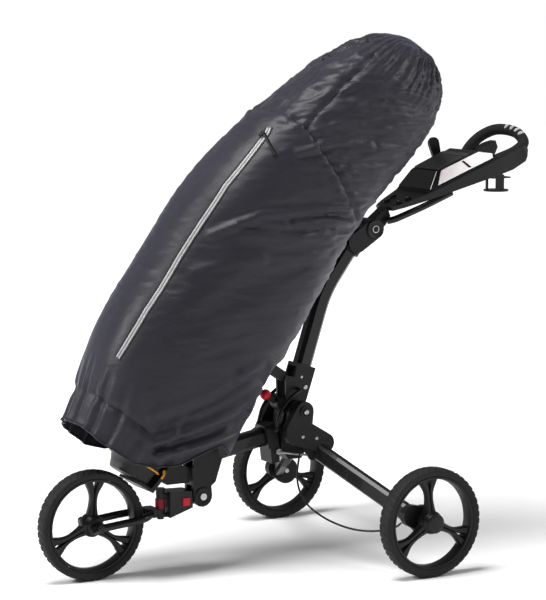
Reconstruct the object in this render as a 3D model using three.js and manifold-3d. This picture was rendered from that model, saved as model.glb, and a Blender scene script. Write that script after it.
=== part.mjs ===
// Three-wheel golf push cart carrying a stand bag under a fitted rain cover.
// +Z is up, +X points from the front wheel to the handle, and the cart's mid-plane is Y = 0.
import * as THREE from 'three';
import { mergeVertices } from 'three/addons/utils/BufferGeometryUtils.js';
import Module from 'manifold-3d';

const wasm = await Module();
wasm.setup();

// ---- driving dimensions, mm; X is measured from the rear axle inside the cart group ----
const ORIGIN_SHIFT = 191;
const GAP = 0.4;
const WHEEL_R = 140;
const TYRE_HALF = 22.5;
const RIM_R = 118;
const HUB_HALF = 26;
const AXLE_R = 6;
const TRACK_HALF = 388;
const WHEELBASE = 760;

const PIVOT = [-186, 390];
const UPPER_ANGLE = 71.6;
const UPPER_TUBE = { across: 40, deep: 45, wall: 2.5 };
const LOWER_TUBE = { across: 40, deep: 46, wall: 2.5, slope: 10, start: -233, end: -482, zAtStart: 326 };
const CHEEK = { inner: 20.4, outer: 27, radius: 26 };

const FORK_PIVOT = [-457, 185];
const SPINDLE_X = -566;
const LEG_IN = [-142, 60, 284];
const LEG_DIR = [0.344, 0.847, -0.404];
const LEG_TUBE = { wide: 30, high: 44, wall: 2.5 };
const LEG_END_Y = 339.4;

const BAG_FOOT = [-648, 274];
const BAG_ANGLE = 56;
const BAG_NORM = [-Math.sin(THREE.MathUtils.degToRad(BAG_ANGLE)), Math.cos(THREE.MathUtils.degToRad(BAG_ANGLE))];
const BAG_AXIS = [Math.cos(THREE.MathUtils.degToRad(BAG_ANGLE)), Math.sin(THREE.MathUtils.degToRad(BAG_ANGLE))];

const CONSOLE_AT = [100, 905];
const CONSOLE_TILT = 22;
const HANDLE_PIVOT = [55, 849];

// ---- finishes ----
const paint = (color, roughness, metalness) => new THREE.MeshStandardMaterial({ color, roughness, metalness });
const finish = {
  blackPaint: () => paint(0x111112, 0.38, 0.2),
  nylon: () => paint(0x161617, 0.55, 0),
  steel: () => paint(0xb9babd, 0.3, 1),
  rubber: () => paint(0x0f0f10, 0.85, 0),
  red: () => paint(0x8c0d18, 0.35, 0),
  darkRed: () => paint(0x4a0a10, 0.45, 0),
  gloss: () => paint(0x050506, 0.08, 0),
  silver: () => paint(0xcdc8c6, 0.4, 0.1),
  greyPlastic: () => paint(0x2b2a2b, 0.5, 0),
  foam: () => paint(0x131314, 0.9, 0),
  greyPad: () => paint(0x9a9a9c, 0.7, 0),
  fabric: () => paint(0x2a2a31, 0.5, 0),
  bagCloth: () => paint(0x1b1b1e, 0.8, 0),
};

const cart = new THREE.Group();
cart.position.x = ORIGIN_SHIFT;

function piece(name, geometry, material, parent = cart) {
  const mesh = new THREE.Mesh(geometry, material);
  mesh.name = name;
  parent.add(mesh);
  return mesh;
}

// ---- joining and cutting ----
function solid(geometry) {
  const bare = geometry.clone();
  bare.deleteAttribute('normal');
  bare.deleteAttribute('uv');
  const welded = mergeVertices(bare, 1e-4);
  const triVerts = new Uint32Array(welded.index.array);
  return new wasm.Manifold(new wasm.Mesh({ numProp: 3, vertProperties: welded.attributes.position.array, triVerts }));
}

function surface(manifold) {
  const mesh = manifold.getMesh();
  const geometry = new THREE.BufferGeometry();
  geometry.setAttribute('position', new THREE.BufferAttribute(new Float32Array(mesh.vertProperties), 3));
  geometry.setIndex(new THREE.BufferAttribute(new Uint32Array(mesh.triVerts), 1));
  geometry.computeVertexNormals();
  return geometry;
}

const join = (...parts) => surface(parts.map(solid).reduce((sum, part) => sum.add(part)));
const cut = (base, ...tools) => surface(tools.map(solid).reduce((left, tool) => left.subtract(tool), solid(base)));
const common = (a, b) => surface(solid(a).intersect(solid(b)));

// ---- stock shapes ----
const vec = (p) => new THREE.Vector3(...p);
const rad = THREE.MathUtils.degToRad;

// A flat plate: an outline in X and Z with thickness from y0 to y1.
function plate(outline, y0, y1, holes = []) {
  const shape = new THREE.Shape(outline.map(([x, z]) => new THREE.Vector2(x, z)));
  holes.forEach((hole) => shape.holes.push(new THREE.Path(hole.map(([x, z]) => new THREE.Vector2(x, z)))));
  const geometry = new THREE.ExtrudeGeometry(shape, { depth: y1 - y0, bevelEnabled: false });
  geometry.rotateX(Math.PI / 2);
  geometry.translate(0, y1, 0);
  return geometry;
}

// The outline round two discs, as a link or a bracket has.
function linkOutline([x1, z1], r1, [x2, z2], r2, steps = 8) {
  const heading = Math.atan2(z2 - z1, x2 - x1);
  const lean = Math.acos((r1 - r2) / Math.hypot(x2 - x1, z2 - z1));
  const points = [];
  const arc = (x, z, r, from, to) => {
    for (let i = 0; i <= steps; i += 1) {
      const a = from + ((to - from) * i) / steps;
      points.push([x + r * Math.cos(a), z + r * Math.sin(a)]);
    }
  };
  arc(x1, z1, r1, heading + lean, heading + 2 * Math.PI - lean);
  arc(x2, z2, r2, heading - lean, heading + lean);
  return points;
}

const link = (a, ra, b, rb, y0, y1) => plate(linkOutline(a, ra, b, rb), y0, y1);

function cylinder(from, to, radius, sides = 16, endRadius = radius) {
  const a = vec(from);
  const b = vec(to);
  const geometry = new THREE.CylinderGeometry(endRadius, radius, a.distanceTo(b), sides);
  geometry.applyQuaternion(new THREE.Quaternion().setFromUnitVectors(
    new THREE.Vector3(0, 1, 0), b.clone().sub(a).normalize()));
  geometry.translate(...a.add(b).multiplyScalar(0.5).toArray());
  return geometry;
}

const acrossY = ([x, z], radius, y0, y1, sides = 16) => cylinder([x, y0, z], [x, y1, z], radius, sides);
const upright = ([x, y], radius, z0, z1, sides = 16) => cylinder([x, y, z0], [x, y, z1], radius, sides);

function box([x0, y0, z0], [x1, y1, z1]) {
  const geometry = new THREE.BoxGeometry(x1 - x0, y1 - y0, z1 - z0);
  geometry.translate((x0 + x1) / 2, (y0 + y1) / 2, (z0 + z1) / 2);
  return geometry;
}

function chamfered(wide, high, chamfer) {
  const w = wide / 2;
  const h = high / 2;
  return new THREE.Shape([
    [-w, -h + chamfer], [-w + chamfer, -h], [w - chamfer, -h], [w, -h + chamfer],
    [w, h - chamfer], [w - chamfer, h], [-w + chamfer, h], [-w, h - chamfer],
  ].map(([x, y]) => new THREE.Vector2(x, y)));
}

// A straight bar of chamfered section; its height stands in the vertical plane of its run.
function beam(from, to, wide, high, chamfer) {
  const a = vec(from);
  const b = vec(to);
  const run = b.clone().sub(a);
  const geometry = new THREE.ExtrudeGeometry(chamfered(wide, high, chamfer), { depth: run.length(), bevelEnabled: false });
  const z = run.clone().normalize();
  const x = new THREE.Vector3(0, 0, 1).cross(z).normalize();
  const y = z.clone().cross(x);
  geometry.applyMatrix4(new THREE.Matrix4().makeBasis(x, y, z).setPosition(a));
  return geometry;
}

function hollowBeam(from, to, wide, high, chamfer, wall) {
  const reach = vec(to).sub(vec(from)).normalize().multiplyScalar(wall * 2);
  const inFrom = vec(from).sub(reach).toArray();
  const inTo = vec(to).add(reach).toArray();
  return cut(beam(from, to, wide, high, chamfer), beam(inFrom, inTo, wide - 2 * wall, high - 2 * wall, chamfer * 0.6));
}

function bentRod(points, radius, steps, sides = 10) {
  const curve = new THREE.CatmullRomCurve3(points.map(vec), false, 'centripetal');
  const ring = new THREE.Shape();
  ring.absarc(0, 0, radius, 0, Math.PI * 2);
  const outline = new THREE.Shape(ring.getSpacedPoints(sides).slice(0, sides));
  return new THREE.ExtrudeGeometry(outline, { steps, extrudePath: curve, bevelEnabled: false });
}

// ---- wheels ----
function tyreShape() {
  const bead = RIM_R + 0.8;
  const profile = [
    [bead, -17], [124, -20.5], [134, -TYRE_HALF], [138.6, -18], [WHEEL_R, -10],
    [WHEEL_R, 10], [138.6, 18], [134, TYRE_HALF], [124, 20.5], [bead, 17], [bead, -17],
  ];
  return new THREE.LatheGeometry(profile.map(([r, y]) => new THREE.Vector2(r, y)), 40);
}

function rimShape() {
  const inner = RIM_R - 6;
  const ring = new THREE.LatheGeometry(
    [[inner, -16], [RIM_R, -19], [RIM_R, 19], [inner, 16], [inner, -16]].map(([r, y]) => new THREE.Vector2(r, y)), 40);
  const hub = acrossY([0, 0], 30, -HUB_HALF, HUB_HALF, 24);
  const spoke = plate([[14, -15], [inner + 2, -24], [inner + 2, 24], [14, 15]], -9, 9,
    [[[58, -4], [inner - 8, -11], [inner - 8, 11], [58, 4]]]);
  const spokes = [90, 210, 330].map((angle) => spoke.clone().rotateY(-rad(angle)));
  return cut(join(ring, hub, ...spokes), acrossY([0, 0], AXLE_R + 0.4, -HUB_HALF - 1, HUB_HALF + 1));
}

function wheel(name, [x, y], turn, capSide) {
  const at = (geometry) => geometry.rotateY(-rad(turn)).translate(x, y, WHEEL_R);
  piece(`${name}_tyre`, at(tyreShape()), finish.rubber());
  piece(`${name}_rim`, at(rimShape()), finish.nylon());
  if (capSide) {
    const face = HUB_HALF + GAP;
    const cap = capSide > 0 ? acrossY([0, 0], 25, face, face + 6, 24) : acrossY([0, 0], 25, -face - 6, -face, 24);
    piece(`${name}_hub_cap`, at(cap), finish.nylon());
  }
}

wheel('front', [-WHEELBASE, 0], 5, 0);
wheel('left', [0, -TRACK_HALF], -5, -1);
wheel('right', [0, TRACK_HALF], -5, 1);

// ---- front fork, its steering spindle and its folding block ----
const forkHalf = [[-772, -46, 137], [-715, -46, 142], [-660, -46, 147], [-628, -41, 150], [-607, -24, 153]];
const forkApex = [-598, 0, 155];
const forkPath = [...forkHalf, forkApex, ...forkHalf.slice().reverse().map(([x, y, z]) => [x, -y, z])];
const FORK_TUBE_R = 10;
const forkTubeBody = bentRod(forkPath, FORK_TUBE_R, 30);
const frontAxleAt = [-WHEELBASE, WHEEL_R];
piece('fork_tube', cut(forkTubeBody, acrossY(frontAxleAt, AXLE_R + GAP, -60, 60)), finish.blackPaint());
piece('front_axle', join(
  acrossY(frontAxleAt, AXLE_R, -57, 57),
  acrossY(frontAxleAt, 10, -62, -56.5, 6),
  acrossY(frontAxleAt, 10, 56.5, 62, 6)), finish.steel());

const yokeClamp = box([-614, -17, 142], [-585, 17, 168]);
const yokeArm = box([-590, -12, 147], [SPINDLE_X, 12, 161.5]);
const yokeEye = upright([SPINDLE_X, 0], 12, 147, 161.5);
const spindleBore = upright([SPINDLE_X, 0], 5.6, 130, 220);
piece('fork_yoke', cut(join(yokeClamp, yokeArm, yokeEye), bentRod(forkPath, FORK_TUBE_R + GAP, 30), spindleBore),
  finish.nylon());

piece('tracking_collar', cut(upright([SPINDLE_X, 0], 13.5, 162, 187, 20), spindleBore), finish.darkRed());
piece('spindle_pin', join(
  upright([SPINDLE_X, 0], 5, 134, 204),
  upright([SPINDLE_X, 0], 9, 134, 138.4),
  upright([SPINDLE_X, 0], 12, 199, 214, 12)), finish.nylon());

const blockBody = plate([[-551, 139], [-551, 206], [-489, 203], [-486, 160]], -27, 27);
const blockTongue = link([-500, 183], 17, FORK_PIVOT, 19, -14, 14);
const lugs = [[139, 146.5], [187.5, 198.5]].map(([z0, z1]) => join(
  box([SPINDLE_X, -11, z0], [-545, 11, z1]), upright([SPINDLE_X, 0], 11, z0, z1)));
const BUTTON = { x: -506, z: 177, half: 10 };
const buttonPocket = box([BUTTON.x - 10.5, -30, BUTTON.z - 10.5], [BUTTON.x + 10.5, -16.5, BUTTON.z + 10.5]);
piece('fork_block', cut(join(blockBody, blockTongue, ...lugs), spindleBore, buttonPocket,
  acrossY(FORK_PIVOT, 6.5, -20, 20)), finish.greyPlastic());
piece('fork_button', box([BUTTON.x - BUTTON.half, -31, BUTTON.z - BUTTON.half],
  [BUTTON.x + BUTTON.half, -22, BUTTON.z + BUTTON.half]), finish.red());

// ---- lower frame ----
const slope = Math.tan(rad(LOWER_TUBE.slope));
const tubeZ = (x) => LOWER_TUBE.zAtStart + (x - LOWER_TUBE.start) * slope;
const tubePoint = (x) => [x, 0, tubeZ(x)];
const lowerSection = [LOWER_TUBE.across, LOWER_TUBE.deep, 10];
piece('lower_tube', hollowBeam(tubePoint(LOWER_TUBE.start), tubePoint(LOWER_TUBE.end), ...lowerSection,
  LOWER_TUBE.wall), finish.blackPaint());
const tubeEnvelope = beam(tubePoint(-200), tubePoint(-520), LOWER_TUBE.across + 0.8, LOWER_TUBE.deep + 0.8, 9);

const knuckleBody = plate([[-484, 214], [-488, 262], [-400, 280], [-410, 250], [-420, 220], [-441, 204], [-457, 198]],
  -26, 26);
const knuckleEars = link(FORK_PIVOT, 27, [-458, 215], 25, -26, 26);
const knuckleCheeks = plate([[-484, 255], [-482, 292], [-412, 304], [-402, 270]], -26, 26);
const tongueSlot = acrossY(FORK_PIVOT, 39, -14.5, 14.5, 28);
const forkPinBore = acrossY(FORK_PIVOT, 6.5, -40, 40);
piece('front_knuckle', cut(join(knuckleBody, knuckleEars, knuckleCheeks), tubeEnvelope, tongueSlot, forkPinBore),
  finish.nylon());
piece('fork_pivot_pin', join(acrossY(FORK_PIVOT, 6, -29, 29), acrossY(FORK_PIVOT, 9, -31, -26.5, 12),
  acrossY(FORK_PIVOT, 9, 26.5, 31, 12)), finish.steel());

const bagPoint = (s, m) => [BAG_FOOT[0] + s * BAG_AXIS[0] + m * BAG_NORM[0], BAG_FOOT[1] + s * BAG_AXIS[1] + m * BAG_NORM[1]];
const shelf = plate([bagPoint(-29, -10), bagPoint(-21.5, -10), bagPoint(-21.5, -52), bagPoint(60, -66),
  bagPoint(62, -74), bagPoint(-29, -62)], -55, 55);
const shelfRib = plate([bagPoint(60, -73), bagPoint(10, -69), [-552, 222], [-489, 222], [-490, 262]], -12, 12);
const shelfKeepOut = box([-600, -60, 130], [-540, 60, 219]);
piece('bag_shelf', cut(join(shelf, shelfRib), shelfKeepOut), finish.nylon());

// ---- centre hub and main pivot ----
const hubBlock = plate([[-228, 350], [-152, 350], [-142, 300], [-168, 258], [-206, 258], [-228, 285]], -30, 30);
const hubNose = join(link(PIVOT, 26, [-192, 335], 32, -19.8, 19.8), link(PIVOT, 24, [-219, 405], 17, -19.8, 19.8));
const hubEars = [-1, 1].flatMap((side) => {
  const span = (a, b) => (side > 0 ? [a, b] : [-b, -a]);
  return [link(PIVOT, 23, [-188, 335], 30, ...span(27.6, 40)), acrossY(PIVOT, 14, ...span(39, 57.5))];
});
const KNOB_DIR = [-0.87, 0, 0.493];
const knobPoint = (d) => [-259 + (d * -1) * KNOB_DIR[0], 0, 429 + (d * -1) * KNOB_DIR[2]];
const knobBore = cylinder(knobPoint(60), knobPoint(5), 5.2, 12);
const mainBore = acrossY(PIVOT, 6.5, -90, 90);
piece('hub_casting', cut(join(hubBlock, hubNose, ...hubEars), mainBore, knobBore), finish.nylon());
piece('main_pivot_bolt', join(acrossY(PIVOT, 6, -84, 84), acrossY(PIVOT, 10, -85, -80.5, 12),
  acrossY(PIVOT, 10, 80.5, 85, 12)), finish.steel());
piece('fold_knob', join(new THREE.SphereGeometry(14.5, 20, 14).translate(...knobPoint(0)),
  cylinder(knobPoint(24), knobPoint(4), 7, 14), cylinder(knobPoint(52), knobPoint(20), 4.6, 12)), finish.red());

// ---- sliding carriage, fold links and leg links ----
const carriage = beam(tubePoint(-240), tubePoint(-270), 60, 62, 6);
const carriageLug = plate([[-262, 300], [-236, 300], [-233, 254], [-256, 251]], -30, 30);
const LINK_FOOT = [-252, 346];
const ROD_FOOT = [-239, 282];
const linkFeet = [-1, 1].map((side) => acrossY(LINK_FOOT, 4, side > 0 ? 29 : -43, side > 0 ? 43 : -29));
piece('link_carriage', cut(join(carriage, carriageLug, ...linkFeet), tubeEnvelope, acrossY(ROD_FOOT, 5.4, -40, 40)),
  finish.nylon());

piece('carriage_bolt', join(acrossY(ROD_FOOT, 5, -34, 34), acrossY(ROD_FOOT, 8, -37, -33.5, 6),
  acrossY(ROD_FOOT, 8, 33.5, 37, 6)), finish.steel());

for (const [name, side] of [['left', -1], ['right', 1]]) {
  const y = 48 * side;
  piece(`fold_link_${name}`, bentRod([[-181, y, 443], [-205, y, 428], [-226, y, 409], [-242, y, 386], [-250, y, 362],
    [-253, y, 342]], 4.5, 14, 8), finish.blackPaint());
  piece(`leg_link_${name}`, cylinder([ROD_FOOT[0], 42 * side, ROD_FOOT[1]], [-157, 54 * side, 268], 3, 10),
    finish.steel());
}

// ---- upper frame ----
const upperDir = [Math.cos(rad(UPPER_ANGLE)), Math.sin(rad(UPPER_ANGLE))];
const up = (r, offset = 0) => [PIVOT[0] + r * upperDir[0] + offset * upperDir[1], PIVOT[1] + r * upperDir[1] - offset * upperDir[0]];
const cheeks = [-1, 1].map((side) => link(PIVOT, CHEEK.radius, up(84), 27,
  side > 0 ? CHEEK.inner : -CHEEK.outer, side > 0 ? CHEEK.outer : -CHEEK.inner));
const cheekNoses = [-1, 1].map((side) => plate([[-214, 481], [-146, 460], [-162, 400], [-211, 386]],
  side > 0 ? CHEEK.inner : -CHEEK.outer, side > 0 ? CHEEK.outer : -CHEEK.inner));
const collar = plate([up(82, -27), up(117, -27), up(117, 27), up(82, 27)], -CHEEK.outer, CHEEK.outer);
const collarOpening = plate([up(60, -40), up(107, -40), up(107, 40), up(60, 40)], -CHEEK.inner, CHEEK.inner);
const LINK_HEAD = [-181, 443];
const linkHeads = [-1, 1].map((side) => acrossY(LINK_HEAD, 4, side > 0 ? 26 : -43, side > 0 ? 43 : -26));
const BEND = [-87, 693];
const TUBE_TOP = [5, 818];
const upperPath = (r0, reach) => {
  const path = new THREE.CurvePath();
  const [x0, z0] = up(r0);
  const bendIn = new THREE.Vector3(BEND[0] - 45 * upperDir[0], 0, BEND[1] - 45 * upperDir[1]);
  const heading = vec([TUBE_TOP[0] - BEND[0], 0, TUBE_TOP[1] - BEND[1]]).normalize();
  const bendOut = vec([BEND[0], 0, BEND[1]]).add(heading.clone().multiplyScalar(45));
  const top = vec([TUBE_TOP[0], 0, TUBE_TOP[1]]).add(heading.clone().multiplyScalar(reach));
  path.add(new THREE.LineCurve3(vec([x0, 0, z0]), bendIn));
  path.add(new THREE.QuadraticBezierCurve3(bendIn, vec([BEND[0], 0, BEND[1]]), bendOut));
  path.add(new THREE.LineCurve3(bendOut, top));
  return path;
};
const upperBar = (wide, deep, chamfer, r0, reach) => new THREE.ExtrudeGeometry(chamfered(wide, deep, chamfer),
  { steps: 14, extrudePath: upperPath(r0, reach), bevelEnabled: false });
const { across, deep, wall } = UPPER_TUBE;
piece('upper_clevis', cut(join(...cheeks, ...cheekNoses, ...linkHeads, collar), collarOpening, mainBore,
  upperBar(across + 0.8, deep + 0.8, 9, 50, 0)), finish.nylon());
const knobNotch = plate([up(20, -30), up(110, -30), up(110, 30), up(20, 30)], -17.5, 17.5);
piece('upper_tube', cut(upperBar(across, deep, 9, 60, 0), upperBar(across - 2 * wall, deep - 2 * wall, 6, 50, 10),
  knobNotch), finish.blackPaint());

const sleeveFrom = [-14, 792];
const hubArm = link([2, 815], 27, HANDLE_PIVOT, 27, -30, 30);
const sleeveBody = beam([sleeveFrom[0], 0, sleeveFrom[1]], [30, 0, 852], 52, 54, 8);
const handleTongueSlot = acrossY(HANDLE_PIVOT, 46, -20.4, 20.4, 24);
const sleeveBore = upperBar(across + 0.8, deep + 0.8, 9, 60, 2);
piece('handle_hub', cut(join(hubArm, sleeveBody), handleTongueSlot, sleeveBore, acrossY(HANDLE_PIVOT, 6.5, -50, 50)),
  finish.nylon());
const cradleStem = plate([[-70, 762], [-60, 777], bagPoint(782, -170), bagPoint(760, -170)], -14, 14);
const cradlePad = plate([bagPoint(730, -160), bagPoint(810, -166), bagPoint(810, -174), bagPoint(730, -168)], -42, 42);
piece('bag_cradle', cut(join(cradleStem, cradlePad), upperBar(across + 0.8, deep + 0.8, 9, 60, 2)), finish.nylon());

// ---- handle ----
const tongue = acrossY(HANDLE_PIVOT, 26, -20, 20, 24);
const tongueArm = plate([[60, 874], [40, 866], [66, 830], [96, 860], [108.8, 881], [99.2, 904.6]], -20, 20);
piece('handle_knuckle', cut(join(tongue, tongueArm), acrossY(HANDLE_PIVOT, 6.5, -50, 50)), finish.nylon());
piece('handle_pivot_bolt', join(acrossY(HANDLE_PIVOT, 6, -33, 33), acrossY(HANDLE_PIVOT, 10, -35, -30.5, 12),
  acrossY(HANDLE_PIVOT, 10, 30.5, 35, 12)), finish.steel());

const console_ = new THREE.Group();
console_.position.set(CONSOLE_AT[0], 0, CONSOLE_AT[1]);
console_.rotation.y = -rad(CONSOLE_TILT);
cart.add(console_);
const onConsole = (x, y, z) => vec([x, y, z]).applyAxisAngle(new THREE.Vector3(0, 1, 0), -rad(CONSOLE_TILT))
  .add(vec([CONSOLE_AT[0], 0, CONSOLE_AT[1]])).toArray();

function deckPlan(points, z0, z1) {
  const shape = new THREE.Shape(points.map(([x, y]) => new THREE.Vector2(x, y)));
  const geometry = new THREE.ExtrudeGeometry(shape, { depth: z1 - z0, bevelEnabled: false });
  geometry.translate(0, 0, z0);
  return geometry;
}
const mirrored = (half) => [...half, ...half.slice().reverse().map(([x, y]) => [x, -y])];
const basePlan = mirrored([[0, -40], [30, -58], [105, -84], [250, -94], [330, -97], [415, -94], [430, -84]]);
const baseSide = [[0, 0], [0, -10], [40, -13], [104, -18], [358, -46], [405, -42], [432, -18], [432, 0]];
const basePlate = common(deckPlan(basePlan, -50, 0), plate(baseSide, -120, 120));
const hull = (points) => surface(wasm.Manifold.hull(points));
const bothSides = (points) => [...points, ...points.map(([x, y, z]) => [x, -y, z])];
// The raised deck slopes down in front and on both long sides; f runs from 0 at its foot to 1 at its top.
const DECK = { front: 100, topFront: 157, topRear: 290, rear: 330, foot: 83, top: 62, height: 38, widen: 0.049 };
const deckSide = (x, f) => [x, -(DECK.foot + DECK.widen * (x - 105)) * (1 - f) - (DECK.top + DECK.widen * (x - 157)) * f,
  DECK.height * f];
const deckRise = hull([...bothSides([deckSide(DECK.front, 0), deckSide(DECK.rear, 0), deckSide(DECK.topFront, 1),
  deckSide(DECK.topRear, 1)]), [DECK.front, 80, -2], [DECK.front, -80, -2], [DECK.rear, 80, -2], [DECK.rear, -80, -2]]);
const tray = box([166, -46, 6], [254, 46, 60]);
const gripSlot = box([345, -58, -80], [440, 58, 20]);
// A thin panel lying on a face through the given corners, from inner to outer above it.
function panel(corners, inner, outer) {
  const normal = vec(corners[1]).sub(vec(corners[0])).cross(vec(corners[2]).sub(vec(corners[0]))).normalize();
  const lifted = (corner, d) => vec(corner).addScaledVector(normal, d).toArray();
  return hull(corners.flatMap((corner) => [lifted(corner, inner), lifted(corner, outer)]));
}
const gripPath = [[404, 76, 1022], [426, 78, 1050], [454, 70, 1077], [480, 42, 1096], [494, 0, 1098], [503, -42, 1088],
  [500, -70, 1066], [470, -78, 1046], [404, -76, 1022]];
const GRIP_R = 15;
const socketPath = [[403.2, 75.9, 1020.8], ...gripPath.slice(1, -1), [403, -76, 1021.6]];
const SHAFT_R = 9;
const shaftPath = (side) => [[92, 30 * side, 868], [108, 40 * side, 870], [132, 56 * side, 880],
  [185, 74 * side, 905], [262, 79 * side, 941]];
const pastShaft = (side) => [...shaftPath(side).slice(0, -1), [262.4, 79 * side, 941.2]];
const socket = (path, radius, steps) => bentRod(path, radius + GAP, steps, 12)
  .translate(-CONSOLE_AT[0], 0, -CONSOLE_AT[1]).rotateY(rad(CONSOLE_TILT));
piece('console_base', cut(join(basePlate, deckRise), tray, gripSlot, socket(socketPath, GRIP_R, 30),
  socket(pastShaft(-1), SHAFT_R, 24), socket(pastShaft(1), SHAFT_R, 24)), finish.nylon(), console_);
const LID = { front: 160, hinge: 262, top: 42.5, rest: 38.4 };
piece('console_lid', hull(bothSides([[LID.front, 58, LID.rest], [LID.hinge, 63, LID.rest], [LID.front, 56, LID.top],
  [LID.hinge, 61, LID.top]])), finish.greyPlastic(), console_);
const frontSlope = (f, y) => [DECK.front + (DECK.topFront - DECK.front) * f, y, DECK.height * f];
piece('badge_panel', panel([frontSlope(0.14, -78), frontSlope(0.95, -60), frontSlope(0.95, 60), frontSlope(0.14, 78)],
  0.6, 3.2), finish.gloss(), console_);
const cardCorners = [[131, 0.2], [312, 0.2], [318, 0.45], [286, 0.92], [163, 0.92]].map(([x, f]) => deckSide(x, f));
piece('scorecard_plate', panel(cardCorners, 0.6, 3.4), finish.silver(), console_);
const mount = box([150, 90.2, -22], [186, 118, -2]);
piece('accessory_mount', mount, finish.nylon(), console_);

for (const [name, side] of [['left', -1], ['right', 1]]) {
  piece(`handle_shaft_${name}`, bentRod(shaftPath(side), SHAFT_R, 12), finish.blackPaint());
}

piece('grip_handle', bentRod(gripPath, GRIP_R, 30, 12), finish.foam());

const CUP = { x: 440, y: -30, z: 935, r: 34 };
const underside = (x) => CONSOLE_AT[1] + (x - CONSOLE_AT[0]) * Math.tan(rad(CONSOLE_TILT)) - 46 / Math.cos(rad(CONSOLE_TILT)) - 3;
const cupArm = (x, y, hx, hy) => box([x - hx, y - hy, CUP.z + 2], [x + hx, y + hy, underside(x - hx)]);
piece('cup_holder', join(upright([CUP.x, CUP.y], CUP.r, CUP.z, CUP.z + 5, 28),
  cupArm(CUP.x - 8, CUP.y - 29, 13, 2), cupArm(CUP.x - 30, CUP.y, 2, 4), cupArm(CUP.x + 24, CUP.y + 10, 2, 4),
  box([CUP.x - 32, CUP.y - 31, underside(CUP.x - 36) - 4], [CUP.x + 26, CUP.y + 14, underside(CUP.x - 36)])),
  finish.nylon());

const [brakeX, , brakeZ] = onConsole(262, 0, -12);
const [brakeHeadX, , brakeHeadZ] = onConsole(269, 0, 60);
piece('brake_lever', join(acrossY([brakeX, brakeZ], 11, 95.8, 116, 16),
  link([brakeX, brakeZ], 9, [brakeHeadX, brakeHeadZ], 16, 103, 113)), finish.nylon());

// ---- rear legs ----
const legPoint = (y, side) => {
  const t = (y - LEG_IN[1]) / LEG_DIR[1];
  return [LEG_IN[0] + t * LEG_DIR[0], y * side, LEG_IN[2] + t * LEG_DIR[2]];
};
for (const [name, side] of [['left', -1], ['right', 1]]) {
  const span = (a, b) => (side > 0 ? [a, b] : [-b, -a]);
  const legBar = (grow) => beam(legPoint(40, side), legPoint(370, side), LEG_TUBE.wide + grow, LEG_TUBE.high + grow, 7);
  const legBore = beam(legPoint(30, side), legPoint(380, side), LEG_TUBE.wide - 2 * LEG_TUBE.wall,
    LEG_TUBE.high - 2 * LEG_TUBE.wall, 5);
  const [legIn, legOut] = span(60, LEG_END_Y);
  piece(`leg_tube_${name}`, common(cut(legBar(0), legBore), box([-300, legIn, 0], [200, legOut, 500])),
    finish.blackPaint());
  const bootPlate = (a, ra, b, rb) => link(a, ra, b, rb, ...span(58, 80));
  const boot = join(bootPlate(PIVOT, 26, [-204, 338], 38), bootPlate([-196, 334], 36, [-124, 302], 26),
    plate([[-190, 300], [-150, 296], [-148, 258], [-162, 258]], ...span(60, 68)));
  piece(`leg_bracket_${name}`, cut(boot, legBar(0.8), acrossY(PIVOT, 6.5, -90, 90)), finish.nylon());
  const axleBlock = link([0, WHEEL_R], 32, [-32, 152], 28, ...span(LEG_END_Y + GAP, TRACK_HALF - HUB_HALF - 0.6));
  const axleBore = acrossY([0, WHEEL_R], AXLE_R + GAP, -430, 430);
  piece(`axle_block_${name}`, cut(axleBlock, axleBore), finish.nylon());
  piece(`rear_axle_${name}`, acrossY([0, WHEEL_R], AXLE_R, ...span(LEG_END_Y + 1, TRACK_HALF + HUB_HALF - 0.2)),
    finish.steel());
}

// ---- brake cable, from under the left boot down and out to the brake on the left wheel ----
const cablePath = [[-192, -65, 287], [-197, -66, 262], [-203, -69, 230], [-205, -78, 195], [-199, -104, 158],
  [-184, -150, 132], [-166, -210, 117], [-142, -270, 111], [-108, -322, 116], [-74, -347, 128], [-62, -352, 137]];
const CABLE_R = 2.6;
piece('brake_cable', bentRod(cablePath, CABLE_R, 40, 8), finish.rubber());

// ---- golf bag and rain cover ----
// A soft body is a tube of superellipse sections along the bag's axis: [s, m, half depth, half width].
function loft(sections, radial, power) {
  const rings = sections.length - 1;
  const geometry = new THREE.CylinderGeometry(1, 1, rings, radial, rings);
  const position = geometry.attributes.position;
  for (let i = 0; i < position.count; i += 1) {
    const level = Math.round(position.getY(i) + rings / 2);
    const [s, m, depthHalf, widthHalf] = sections[level];
    const px = position.getX(i);
    const pz = position.getZ(i);
    const reach = Math.hypot(px, pz);
    const c = reach > 0.5 ? px / reach : 0;
    const d = reach > 0.5 ? pz / reach : 0;
    const swell = reach > 0.5 ? (Math.abs(c) ** power + Math.abs(d) ** power) ** (-1 / power) : 0;
    const [x, z] = bagPoint(s, m - c * swell * depthHalf);
    position.setXYZ(i, x, -d * swell * widthHalf, z);
  }
  return geometry;
}

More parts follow.
